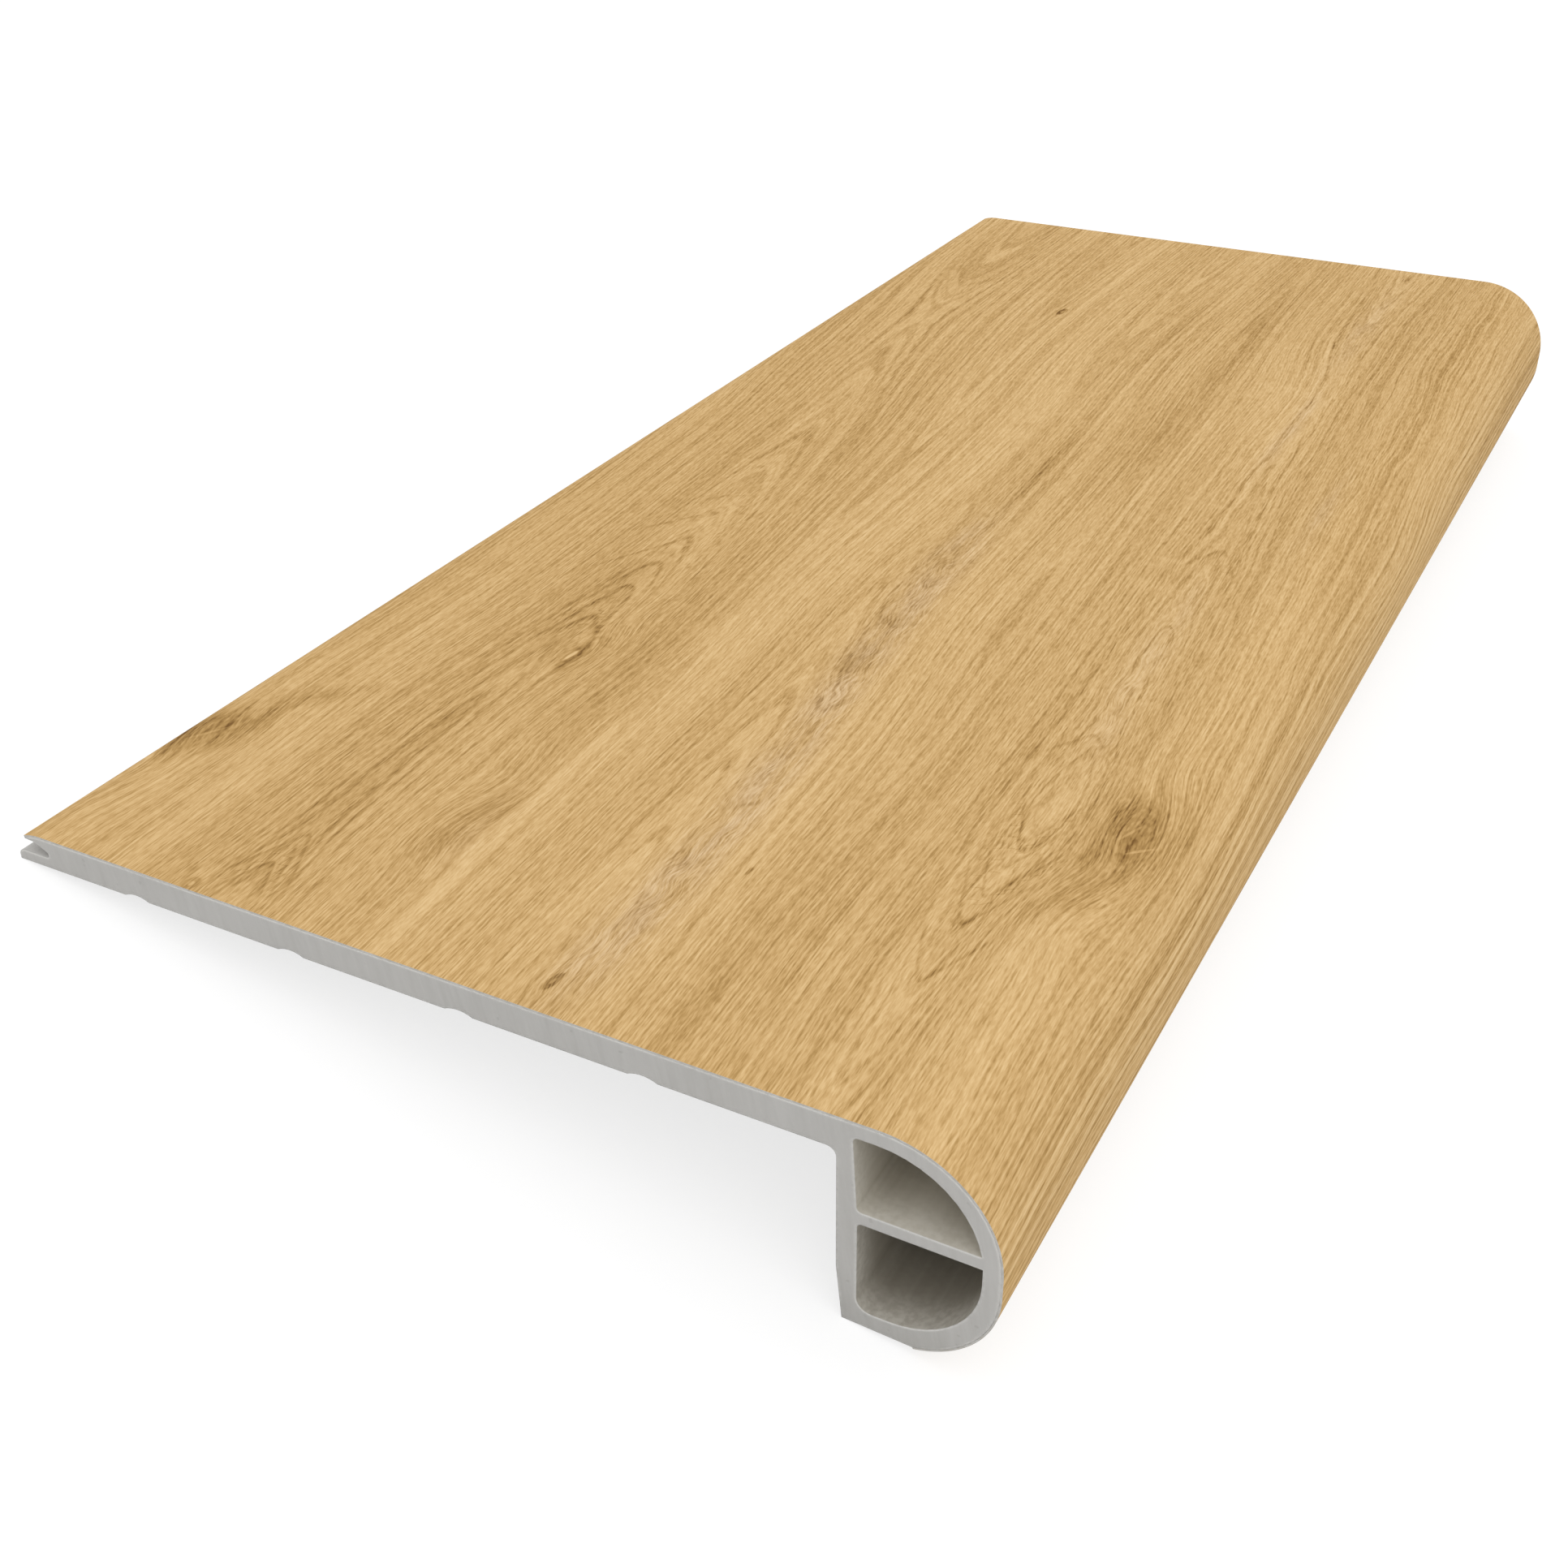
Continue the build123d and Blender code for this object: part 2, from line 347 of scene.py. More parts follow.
FIGURE_BANDS = (0.85, 0.008, 0.09)
RIPPLES = (0.12, 0.26, 0.3)     # light and dark ripples of a strip
RIPPLE_SLOPE = 2.0              # millimetres that a ripple climbs for each one aside from its tip
RIPPLE_FRAY = 4.0               # and how far it wavers
GREY_FRAY = (1.5, 0.3)          # how far the quick wander and the hairs break up the grey
GREY_CLOUDS = (-0.35, 0.3, 0.3, 1.0)  # where it is weakest and full, and how weak and strong

# Seeds of the grain's noises, or the step from one layer's seed to the next
SEEDS = {"threads": 20.0, "lanes": 10.0, "nose": 70.0, "bands": 40.0, "ripples": 60.0, "lines": 4.0,
         "speckle": 0.5, "strokes": 5.0}

# Surface of the print
OAK_SPECULAR = 0.01
OAK_ROUGHNESS = 0.6
OAK_DASH_GLOSS = 0.1
OAK_HAIR_RELIEF = 0.5
OAK_RELIEF = (0.2, 0.04)        # strength, and depth in millimetres

# Colours, as display values from 0 to 255
OAK_TONES = [
    (0.0, (124, 90, 50)),
    (0.15, (163, 127, 76)),
    (0.35, (187, 150, 95)),
    (0.55, (208, 171, 116)),
    (0.78, (224, 189, 135)),
    (1.0, (235, 202, 150)),
]
GREY_TONES = [
    (0.1, (138, 108, 74)),
    (0.35, (182, 149, 107)),
    (0.56, (208, 176, 133)),
    (0.85, (230, 202, 164)),
]
CORE_DARK = (179, 177, 172)
CORE_MIDDLE = (194, 192, 188)
CORE_LIGHT = (206, 204, 200)
# Painted highlight on the core's sawn rims
CORE_RIM_HIGHLIGHT = (228, 226, 221)
# Chamber walls, darkest and lightest; the lower chamber's are darker as painted shade
CHAMBER_SHADES = {
    "upper": ((186, 179, 164), (210, 204, 190)),
    "lower": ((148, 141, 128), (172, 166, 153)),
}
# Painted light: the chambers' walls paled towards the cut ends
MOUTH_PAINTED_LIGHT = (222, 218, 208)
MOUTH_LIGHT_REACH = (5.0, 0.0)              # how far from a cut end the painted light at a chamber's mouth starts and is full, in millimetres
FILM_EDGE = (190, 186, 178)
FLOOR_GREY = 0.6
FOOT_SHADE = (8.0, 1.0)         # painted shade: the foot is darkened from this height down to this one
FOOT_REACH = (25.0, 35.0)       # and only this far forward
# Painted highlight on the sawn rims of the core
RIM_ROUND = 0.6                 # how far the sawn rims look rounded, which also sets the width of their painted highlight, in millimetres
RIM_SAMPLES = 8
RIM_TURN = (0.998, 0.92)        # how far the rim turns where its painted highlight begins and is palest
RIM_PATCHES = (0.7, 1.2, 0.4, 0.9)

# Finish of the core: noises, their shares of the tone, and relief as strength and depth in millimetres
CORE_SPECULAR = 0.25
CORE_ROUGHNESS = 0.55
ROUGHNESS_CHANGE = 0.2
CUT_FACING = (0.8, 0.95)        # faces that look this much along the piece are sawn
CLOUD = {"scale": 0.12, "detail": 3.0}
GRAIN = {"scale": 2.6, "detail": 3.0}
SAW = {"scale": 1.1, "detail": 3.0, "rough": 0.65}
SAW_LIE = (0.9, 0.35, 0.1)      # the saw marks' run over the end: across, upward and along themselves
DIE_LINES = (1.6, 0.01)         # cells per millimetre over the section and along the piece
CRUMB = {"scale": 0.9, "detail": 1.0}
CRUMB_PART = (0.7, 0.76)
CORE_SHARES = {"cloud": 0.5, "grain": 0.18, "marks": 0.7, "crumbs": 0.3, "foot": 0.26}
CORE_RELIEF_SHARES = {"marks": 0.7, "grain": 0.3}
CORE_RELIEF = (0.2, 0.06)

# Finish of the chambers' walls, in the same manner
CHAMBER_SPECULAR = 0.2
CHAMBER_ROUGHNESS = 0.5
CHAMBER_CLOUD = {"scale": 0.2, "detail": 2.0}
CHAMBER_CLOUD_RUN = 0.3         # how much the clouds are drawn out along the piece
CHAMBER_DIE_LINES = (1.2, 0.01)
PITS = {"scale": 1.6, "detail": 2.0}
CHAMBER_SHARES = {"cloud": 0.4, "die": 0.4, "pits": 0.2}
CHAMBER_RELIEF_SHARES = {"die": 0.5, "pits": 0.5}
CHAMBER_SPAN = (0.3, 0.7)       # tones at which a wall is darkest and lightest
MOUTH_PATCHES = (0.3, 0.7, 0.3, 0.6)
CHAMBER_RELIEF = (0.2, 0.05)

# Finish of the film's cut edge
EDGE_ROUGHNESS = 0.6
EDGE_GRAIN = {"scale": 1.5, "detail": 2.0}
EDGE_RUN = 0.2
EDGE_SPAN = (0.3, 0.7)


def display(colour):
    """Scene-linear colour of a display colour."""
    def linear(c):
        c /= 255
        return c / 12.92 if c <= 0.04045 else ((c + 0.055) / 1.055) ** 2.4
    return (*[linear(c) for c in colour], 1.0)


# Where the level section lies in the part's frame
class Lie:
    """The tilt at which the piece rests, read from its bed face, and the shift read from the film's box."""

    def __init__(self):
        mounts = {mount["name"]: mount for mount in frame["record"]["mounts"]}
        self.sin, _, minus_cos = mounts["tread_bed"]["axis"]
        self.cos = -minus_cos
        self.shift_x = self.shift_z = 0.0
        low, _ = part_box("decor_film")
        front = DEPTH - LOWER_LIP_REACH
        lip_x, _ = self.place(0.0, -EASE_DROP)
        _, foot_z = self.place(front - FOOT_RUN, -HEIGHT)
        self.shift_x = low[0] / MM - lip_x
        self.shift_z = low[2] / MM - foot_z

    def place(self, x, z):
        """Part x and z, in millimetres, of a point of the level section."""
        return x * self.cos - z * self.sin + self.shift_x, x * self.sin + z * self.cos + self.shift_z

    def chamber_of(self, face):
        """1 for a wall of the upper chamber, 2 for one of the lower, 0 for the core's other faces."""
        middle = face.calc_center_median() / MM
        x, z = middle.x - self.shift_x, middle.z - self.shift_z
        x, z = x * self.cos + z * self.sin, z * self.cos - x * self.sin
        off = math.hypot(x - CELL_CENTRE[0], z - CELL_CENTRE[1])
        if abs(face.normal.y) > END_FACING or off > CELL_REACH or x < CELL_BACK:
            return 0
        return 1 if z > WEB_MIDDLE else 2

    def rotation(self):
        return Matrix(((self.cos, 0, -self.sin), (0, 1, 0), (self.sin, 0, self.cos)))


lie = Lie()
film_low, film_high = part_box("decor_film")
LENGTH = (film_high[1] - film_low[1]) / MM


# The film's mesh
def arc_points(centre, radius, start, end, steps):
    angle = np.linspace(start, end, steps + 1)
    return centre[0] + radius * np.cos(angle), centre[1] + radius * np.sin(angle)


def line_points(start, end, steps):
    return np.linspace(start[0], end[0], steps + 1), np.linspace(start[1], end[1], steps + 1)


def wrapped_line(inset):
    """Points of the wrapped face from the upper lip round to the foot, an inset below the outer surface."""
    front = DEPTH - LOWER_LIP_REACH
    ease = (EASE_WIDTH**2 + EASE_DROP**2) / (2 * EASE_DROP)
    low_drop = HEIGHT - NOSE_TOP_RADIUS - NOSE_FRONT_FLAT
    low = (FOOT_RUN**2 + low_drop**2) / (2 * FOOT_RUN)
    lip_turn = math.asin(EASE_WIDTH / ease)
    foot_turn = math.asin(low_drop / low)
    up = math.pi / 2
    ease_centre = (EASE_WIDTH, -ease)
    top_centre = (front - NOSE_TOP_RADIUS, -NOSE_TOP_RADIUS)
    low_centre = (front - low, low_drop - HEIGHT)

    def steps(length):
        return math.ceil(length / CELL)

    stretches = [
        arc_points(ease_centre, ease - inset, up + lip_turn, up, steps(ease * lip_turn)),
        line_points((EASE_WIDTH, -inset), (top_centre[0], -inset), steps(top_centre[0] - EASE_WIDTH)),
        arc_points(top_centre, NOSE_TOP_RADIUS - inset, up, 0, 2 * steps(NOSE_TOP_RADIUS * up)),
        line_points((front - inset, top_centre[1]), (front - inset, low_centre[1]), steps(NOSE_FRONT_FLAT)),
        arc_points(low_centre, low - inset, 0, -foot_turn, 2 * steps(low * foot_turn)),
    ]
    x = np.concatenate([stretches[0][0]] + [s[0][1:] for s in stretches[1:]])
    z = np.concatenate([stretches[0][1]] + [s[1][1:] for s in stretches[1:]])
    return x, z


def rows_of(points, rows):
    """Vertices of a section's points, repeated at each row along the piece."""
    x, z = lie.place(*points)
    y = np.repeat(rows, len(x))
    return np.column_stack([np.tile(x, len(rows)), y, np.tile(z, len(rows))])


def film_piece():
    """The film as a closed skin: a fine outer face, a plain inner face and its four cut edges."""
    outer = wrapped_line(0.0)
    inner = wrapped_line(FILM)
    count = len(outer[0])
    along = np.linspace(0, LENGTH, math.ceil(LENGTH / CELL) + 1)
    rows = along - LENGTH / 2
    ends = rows[[0, -1]]
    points = np.concatenate([rows_of(outer, rows), rows_of(inner, ends)])
    last = len(rows) - 1
    base = len(rows) * count

    faces = []
    for i in range(last):
        for j in range(count - 1):
            a = i * count + j
            faces.append((a, a + 1, a + count + 1, a + count))
    seen = len(faces)
    for j in range(count - 1):
        near, far = base + j, base + count + j
        faces.append((near, far, far + 1, near + 1))
        faces.append((j, near, near + 1, j + 1))
        top = last * count + j
        faces.append((top, top + 1, far + 1, far))
    for j in (0, count - 1):
        rim = [i * count + j for i in range(last + 1)]
        faces.append((*rim, base + count + j, base + j))

    mesh = bpy.data.meshes.new("oak_film_wrap")
    mesh.from_pydata((points * MM).tolist(), [], faces)
    mesh.polygons.foreach_set("material_index", [0] * seen + [1] * (len(faces) - seen))
    tidy_mesh(mesh)

    across = np.concatenate([[0], np.cumsum(np.hypot(np.diff(outer[0]), np.diff(outer[1])))])
    grid_across, grid_along = np.meshgrid(across, along)
    for name, grid in print_layers(grid_across, grid_along).items():
        values = np.concatenate([grid.ravel(), grid[0], grid[-1]])
        layer = mesh.attributes.new(name, "FLOAT", "POINT")
        layer.data.foreach_set("value", values.astype(np.float32))
    return shown("oak_film_wrap", mesh)


def tidy_mesh(mesh):
    """Normals outward, smooth where the section is round and crisp at its edges."""
    work = bmesh.new()
    work.from_mesh(mesh)
    bmesh.ops.recalc_face_normals(work, faces=work.faces)
    work.to_mesh(mesh)
    work.free()
    mesh.shade_smooth()
    mesh.set_sharp_from_angle(angle=SHARP)
    for face in mesh.polygons:
        if abs(face.normal.y) > END_FACING:
            face.use_smooth = False


def shown(name, mesh):
    piece = bpy.data.objects.new(name, mesh)
    bpy.context.scene.collection.objects.link(piece)
    return piece


# The oak print, worked out over the unrolled film
def curve_through(points, at):
    """Smooth curve through given points."""
    x, y = np.array(points, float).T
    slope = np.gradient(y, x)
    i = np.clip(np.searchsorted(x, at) - 1, 0, len(x) - 2)
    span = x[i + 1] - x[i]
    t = np.clip((at - x[i]) / span, 0, 1)
    eased = t * t * (3 - 2 * t)
    bend = span * t * (1 - t) * ((1 - t) * slope[i] - t * slope[i + 1])
    return y[i] + (y[i + 1] - y[i]) * eased + bend


def patch(across, along, centre_across, centre_along, width, length, lean=0.0):
    """A soft oval patch, 1 in its middle."""
    d_along = along - centre_along
    d_across = across - centre_across - lean * d_along
    return np.exp(-((d_across / width) ** 2) - (d_along / length) ** 2)


def soft_step(value, low, high):
    """Smooth step from 0 at the low value to 1 at the high one, which may be the smaller."""
    t = np.clip((value - low) / (high - low), 0, 1)
    return t * t * (3 - 2 * t)


def arch_layers(across, along):
    """Depth into the nearest arch, 0 at its outer edge and 1 at its inner one, and its darkness there."""
    depth = np.zeros_like(across)
    dark = np.zeros_like(across)
    nearest = np.full_like(across, np.inf)
    for turn, group in ((1, ARCHES), (-1, CHEVRONS)):
        for middle, tip, left, right, thick, length, strength in group:
            aside = across - middle
            below = turn * (tip - along)
            round_aside = np.hypot(aside, ARCH_TIP)
            steep = np.where(aside < 0, left, right)
            narrowing = (1 + (steep * aside / round_aside) ** 2) ** ARCH_NARROWING
            inside = (below - (round_aside - ARCH_TIP) * steep) / narrowing / thick
            off = np.abs(inside - 0.5)
            fade = soft_step(below, length, length * ARCH_LEGS)
            fade = fade * soft_step((off - 0.5) * thick, *ARCH_CLEAR)
            near = off < nearest
            depth = np.where(near, inside, depth)
            dark = np.where(near, strength * fade, dark)
            nearest = np.minimum(nearest, off)
    return depth, dark


def print_layers(across, along):
    """Layers that the oak shader reads: place, lanes of the grain, growth rings, tone and greyness."""
    lane = across
    for *shape, lean in LEANS:
        lane = lane - lean * (along - shape[1]) * patch(across, along, *shape)
    for shape in PARTINGS:
        lane = lane - PARTING * (across - shape[0]) * patch(across, along, *shape)
    heaps = figure_near = drift = weights = 0.0
    for figure in FIGURES:
        axis = curve_through(figure["axis"], along)
        off = lane - axis
        side = np.exp(-((off / figure["reach"]) ** 2))
        tip = figure["tip"]
        ring = RING * curve_through(figure["rings"], along) * side - np.sqrt(off**2 + tip**2) + tip
        heaps = heaps + np.exp(ring / FIGURE_BLEND)
        figure_near = figure_near + figure["lines"] * side
        weight = np.exp(-np.abs(off) / LANE_REACH)
        drift = drift + weight * (axis - figure["axis"][0][1])
        weights = weights + weight
    tone = sum(amount * patch(across, along, *shape) for *shape, amount in PATCHES)
    grey = sum(amount * patch(across, along, *shape) for *shape, amount in GREY_PATCHES)
    arch_depth, arch_dark = arch_layers(across, along)
    curl = np.zeros_like(lane)
    beside = np.full_like(lane, np.inf)
    for strip in STRIPS:
        off = np.abs(across - curve_through(strip["path"], along))
        beside = np.minimum(beside, off)
        inside = np.exp(-((off / strip["width"]) ** 2))
        start, end = strip["ends"]
        inside = inside / (1 + np.exp((start - along) / STRIP_FADE[0]))
        inside = inside / (1 + np.exp((along - end) / STRIP_FADE[1]))
        grey = grey + strip["grey"] * inside
        curl = curl + strip["curl"] * inside
    ring = FIGURE_BLEND * np.log(heaps)
    slope = np.hypot(*np.gradient(ring, along[:, 0], across[0]))
    return {
        "across": across,
        "along": along,
        "lane": lane - drift / weights,
        "ring": ring,
        "spread": RING / np.maximum(slope, SPREAD_FLAT) ** SPREAD_POWER,
        "figure": np.clip(figure_near, 0, FIGURE_MOST),
        "tone": tone,
        "arch_depth": arch_depth,
        "arch_dark": arch_dark,
        "grey": grey,
        "curl": curl,
        "ripple": along - RIPPLE_SLOPE * beside,
    }


# Materials
class Signal:
    """A value in a node graph, so that a finish can be written as a formula."""

    def __init__(self, graph, socket):
        self.graph = graph
        self.socket = socket

    def __add__(self, other):
        return self.graph.math("ADD", self, other)

    def __sub__(self, other):
        return self.graph.math("SUBTRACT", self, other)

    def __rsub__(self, other):
        return self.graph.math("SUBTRACT", other, self)

    def __mul__(self, other):
        return self.graph.math("MULTIPLY", self, other)

    __radd__ = __add__


class Graph:
    """A material and its node graph, with short calls for the nodes that the finishes use."""

    def __init__(self, name, specular=0.3):
        self.material = bpy.data.materials.new(name)
        self.material.use_nodes = True
        self.tree = self.material.node_tree
        self.shader = self.tree.nodes["Principled BSDF"]
        self.shader.inputs["Specular IOR Level"].default_value = specular

    def add(self, kind, inputs, **settings):
        node = self.tree.nodes.new(kind)
        for key, value in settings.items():
            setattr(node, key, value)
        for key, value in inputs.items():
            self.feed(node.inputs[key], value)
        return node

    def feed(self, socket, value):
        if isinstance(value, Signal):
            self.tree.links.new(value.socket, socket)
        else:
            socket.default_value = value

    def math(self, operation, a, b=0.0):
        return Signal(self, self.add("ShaderNodeMath", {0: a, 1: b}, operation=operation).outputs[0])

    def attribute(self, name):
        return Signal(self, self.add("ShaderNodeAttribute", {}, attribute_name=name).outputs["Fac"])

    def vector(self, x, y, z=0.0):
        return Signal(self, self.add("ShaderNodeCombineXYZ", {0: x, 1: y, 2: z}).outputs[0])

    def noise(self, vector, scale=1.0, detail=2.0, rough=0.5):
        inputs = {"Vector": vector, "Scale": scale, "Detail": detail, "Roughness": rough}
        return Signal(self, self.add("ShaderNodeTexNoise", inputs).outputs["Fac"])

    def wander(self, vector):
        """Smooth noise about 0."""
        return self.noise(vector, detail=1.0) - 0.5

    def streaks(self, vector, detail=1.0):
        """Noise made crisp, about 0."""
        return self.step(self.noise(vector, detail=detail), *CRISP) - 0.5

    def die_lines(self, x, y, z, over, along):
        """Fine lines along the piece, as the die leaves them."""
        return self.noise(self.vector(x * over, y * along, z * over), detail=3.0)

    def speckle(self, vector):
        return Signal(self, self.add("ShaderNodeTexWhiteNoise", {"Vector": vector}).outputs["Value"])

    def step(self, value, low, high, start=0.0, end=1.0):
        """A soft step from one value to another."""
        inputs = {"Value": value, "From Min": low, "From Max": high, "To Min": start, "To Max": end}
        node = self.add("ShaderNodeMapRange", inputs, interpolation_type="SMOOTHSTEP")
        return Signal(self, node.outputs[0])

    def ramp(self, value, stops):
        node = self.add("ShaderNodeValToRGB", {"Fac": value})
        elements = node.color_ramp.elements
        while len(elements) < len(stops):
            elements.new(1.0)
        for element, (position, colour) in zip(elements, stops):
            element.position = position
            element.color = display(colour)
        return Signal(self, node.outputs["Color"])

    def mix(self, share, first, second):
        node = self.add("ShaderNodeMix", {"Factor": share}, data_type="RGBA")
        for key, value in {6: first, 7: second}.items():
            self.feed(node.inputs[key], value)
        return Signal(self, node.outputs[2])

    def place(self):
        """Place on the piece, in millimetres."""
        coordinates = self.add("ShaderNodeTexCoord", {}).outputs["Object"]
        node = self.add("ShaderNodeVectorMath", {0: Signal(self, coordinates)}, operation="SCALE")
        node.inputs["Scale"].default_value = 1 / MM
        split = self.add("ShaderNodeSeparateXYZ", {0: Signal(self, node.outputs[0])})
        return [Signal(self, output) for output in split.outputs]

    def bump(self, height, strength, depth, over=None):
        """Relief of a depth in millimetres, over the surface or over a normal of its own."""
        inputs = {"Height": height, "Strength": strength, "Distance": depth * MM}
        if over:
            inputs["Normal"] = over
        node = self.add("ShaderNodeBump", inputs)
        self.feed(self.shader.inputs["Normal"], Signal(self, node.outputs["Normal"]))

    def finish_rough(self, colour, level, grain):
        """A finish whose roughness changes with the grain."""
        return self.finish(colour, level + (grain - 0.5) * ROUGHNESS_CHANGE)

    def finish(self, colour, roughness):
        self.feed(self.shader.inputs["Base Color"], colour)
        self.feed(self.shader.inputs["Roughness"], roughness)
        return self.material


def oval(across, along, spot):
    """Place in a leaning oval: across and along from its middle, and the squared distance, 1 at its edge."""
    up = along - spot["along"]
    aside = across - spot["across"] - up * spot["lean"]
    wide = aside * (1 / spot["width"])
    long = up * (1 / spot["length"])
    return aside, up, wide * wide + long * long


def oak_print():
    """Printed oak: threads along the rings, dashes along the lanes, ring lines, knots and grey ripples."""
    g = Graph("oak_print", specular=OAK_SPECULAR)
    across = g.attribute("across")
    along = g.attribute("along")
    figure = g.attribute("figure")
    curl = g.attribute("curl")
    wander = {}
    for name, (cells_across, cells_along, seed) in WANDERS.items():
        wander[name] = g.wander(g.vector(across * cells_across, along * cells_along, seed))
    wander["loose"] = wander["loose"] * g.step(across, *LOOSE_FROM)
    quick = wander["quick"]

    def swaying(name, sway):
        """A layer of the mesh that wanders, most of all in the rippled strips."""
        total = g.attribute(name)
        for wave, amount in sway.items():
            total = total + wander[wave] * amount
        return total + wander["curly"] * curl * CURL_SWAY

    lane = swaying("lane", LANE_SWAY)
    ring = swaying("ring", RING_SWAY)

    # Threads, dashes and flecks
    tone = g.attribute("tone") + PLAIN_TONE
    softer = 1.0 - g.attribute("grey") * THREAD_CALM["grey"] - figure * THREAD_CALM["figure"]
    bolder = 1.0 + along * THREAD_GAIN
    for number, (cells_across, cells_along, contrast) in enumerate(THREADS):
        drift = across * THREAD_DRIFT + SEEDS["threads"] * number
        threads = g.streaks(g.vector(ring * cells_across, along * cells_along, drift))
        tone = tone + threads * softer * bolder * contrast
    cells_across, cells_along, contrast = NOSE_STRIPES
    stripes = g.streaks(g.vector(lane * cells_across, along * cells_along, SEEDS["nose"]))
    tone = tone + stripes * g.step(across, *NOSE_FROM) * contrast
    layer = {}
    for number, (name, (cells_across, cells_along, contrast)) in enumerate(LANES.items()):
        layer[name] = g.streaks(g.vector(lane * cells_across, along * cells_along, SEEDS["lanes"] * number))
        tone = tone + layer[name] * contrast
    dash = layer["dash"]

    # Ring lines: sharp at the start of each ring and fading through it, of uneven strength and frayed
    turn = (ring + dash * LINE_FRAY) * (1 / RING)
    count = g.math("FLOOR", turn)
    into = (turn - count) * g.attribute("spread")
    strength = LINE_LEAST + g.speckle(g.vector(count, SEEDS["speckle"])) * (1 - LINE_LEAST)
    strength = strength * g.noise(g.vector(count, along * LINE_CHANGE, SEEDS["lines"]))
    shape = (1.0 - g.step(into, LINE_EDGE, LINE_FADE)) * g.step(into, 0.0, LINE_EDGE)
    line = shape * strength * (LINE_PLAIN + figure * (1 - LINE_PLAIN))
    tone = tone - line * (LINE_DARK - dash * LINE_BREAK)
    depth = g.attribute("arch_depth") + dash * ARCH_FRAY
    band = g.step(depth, -ARCH_EDGE, ARCH_EDGE) * g.step(depth, *ARCH_INNER)
    tone = tone - band * g.attribute("arch_dark")
    cells_across, cells_along, contrast = FIGURE_BANDS
    bands = g.streaks(g.vector(ring * cells_across, along * cells_along, SEEDS["bands"]))
    tone = tone + bands * figure * contrast

    # Ripples across the strips
    cells_across, cells_along, contrast = RIPPLES
    climb = g.attribute("ripple") + quick * RIPPLE_FRAY
    ripples = g.streaks(g.vector(across * cells_across, climb * cells_along, SEEDS["ripples"]), detail=2.0)
    tone = tone + ripples * curl * contrast

    # Knots
    for eye in EYES:
        _, _, square = oval(across, along, eye)
        reach = g.math("SQRT", square) + quick * EYE_FRAY[0] + dash * EYE_FRAY[1]
        for edge in EYE_RINGS:
            beside = g.math("ABSOLUTE", reach - edge)
            tone = tone - (1.0 - g.step(beside, 0.0, EYE_RING_WIDTH)) * eye["dark"]
        tone = tone - g.step(reach, *EYE_SHADE) * eye["dark"] * EYE_SHADE_DARK
    for number, smudge in enumerate(SMUDGES):
        aside, up, square = oval(across, along, smudge)
        run = g.vector(aside * smudge["strokes"], up * STROKE_RUN, SEEDS["strokes"] * number)
        strokes = g.step(g.noise(run, detail=2.0), *STROKES)
        inside = g.step(square + quick * SMUDGE_FRAY, *SMUDGE_EDGE)
        tone = tone - inside * strokes * smudge["dark"]
    for mark in MARKS:
        _, _, square = oval(across, along, mark)
        tone = tone + g.step(square, *MARK_EDGE) * mark["tone"]

    # Colour, relief and gloss
    warm = g.ramp(tone, OAK_TONES)
    grey = g.ramp(tone, GREY_TONES)
    clouds = g.step(quick * GREY_FRAY[0] + layer["hair"] * GREY_FRAY[1], *GREY_CLOUDS)
    share = g.attribute("grey") * clouds
    g.bump(dash + layer["hair"] * OAK_HAIR_RELIEF, *OAK_RELIEF)
    return g.finish(g.mix(share, warm, grey), OAK_ROUGHNESS - dash * OAK_DASH_GLOSS)


def film_edge():
    """Cut edge and back of the film: pale base layer with a fine ragged grain."""
    g = Graph("film_edge")
    x, y, z = g.place()
    grain = g.noise(g.vector(x, y * EDGE_RUN, z), **EDGE_GRAIN)
    colour = g.mix(g.step(grain, *EDGE_SPAN), display(FILM_EDGE), display(CORE_LIGHT))
    return g.finish_rough(colour, EDGE_ROUGHNESS, grain)


